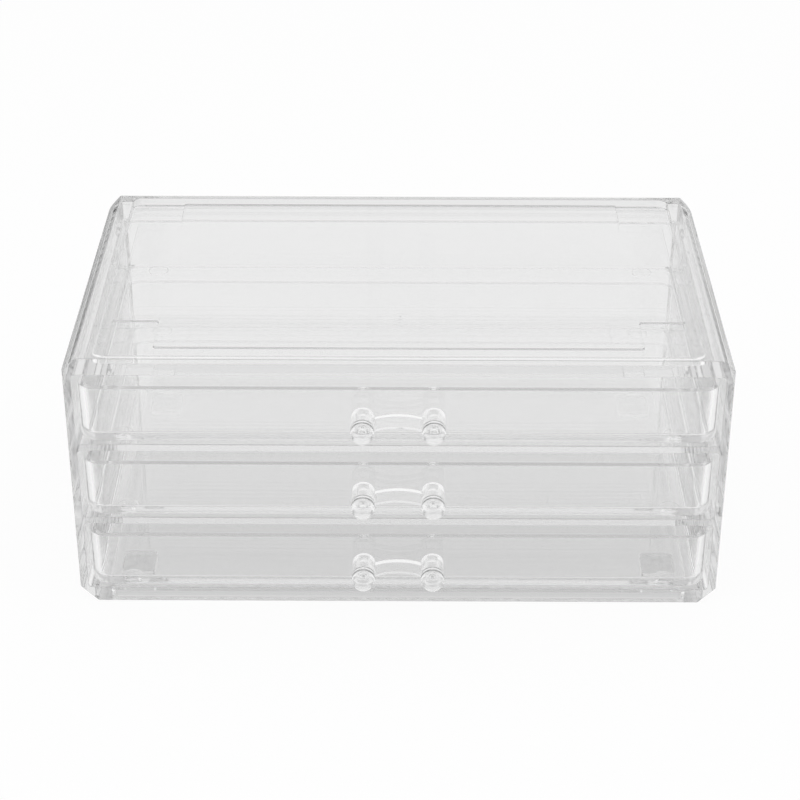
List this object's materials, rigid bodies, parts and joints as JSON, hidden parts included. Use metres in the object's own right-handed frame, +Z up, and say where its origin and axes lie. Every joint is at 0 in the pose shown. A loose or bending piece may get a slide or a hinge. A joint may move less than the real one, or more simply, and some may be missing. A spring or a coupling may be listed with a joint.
{
  "type": "drawer box",
  "caption": "Clear moulded tabletop drawer box: open bays hold lift-out trays, each with a bow grip held by domed pins, under a rimmed top for stacking.",
  "frame": {"origin": "centre of the bounding box in plan, at the height of the surface it stands on", "axes": "+X to the right across the width, the open front with the grips faces -Y, +Z up"},
  "size_m": [0.24, 0.1578, 0.1044],
  "materials": {
    "casing_clear": "clear gloss, moulded crystal plastic",
    "tray_clear": "clear gloss, moulded crystal plastic",
    "grip_clear": "clear gloss, moulded crystal plastic",
    "pin_clear": "clear gloss, moulded crystal plastic"
  },
  "bodies": {
    "casing": {"casing": "casing_clear"},
    "tray_bottom": {"tray_bottom": "tray_clear", "grip_bottom": "grip_clear", "pin_bottom_left": "pin_clear", "pin_bottom_right": "pin_clear"},
    "tray_middle": {"tray_middle": "tray_clear", "grip_middle": "grip_clear", "pin_middle_left": "pin_clear", "pin_middle_right": "pin_clear"},
    "tray_top": {"tray_top": "tray_clear", "grip_top": "grip_clear", "pin_top_left": "pin_clear", "pin_top_right": "pin_clear"}
  },
  "joints": [
    {"name": "tray_bottom_slide", "type": "slide", "parent": "casing", "child": "tray_bottom", "axis": [0, -1, 0], "range_m": [0, 0.115]},
    {"name": "tray_middle_slide", "type": "slide", "parent": "casing", "child": "tray_middle", "axis": [0, -1, 0], "range_m": [0, 0.115]},
    {"name": "tray_top_slide", "type": "slide", "parent": "casing", "child": "tray_top", "axis": [0, -1, 0], "range_m": [0, 0.115]}
  ]
}
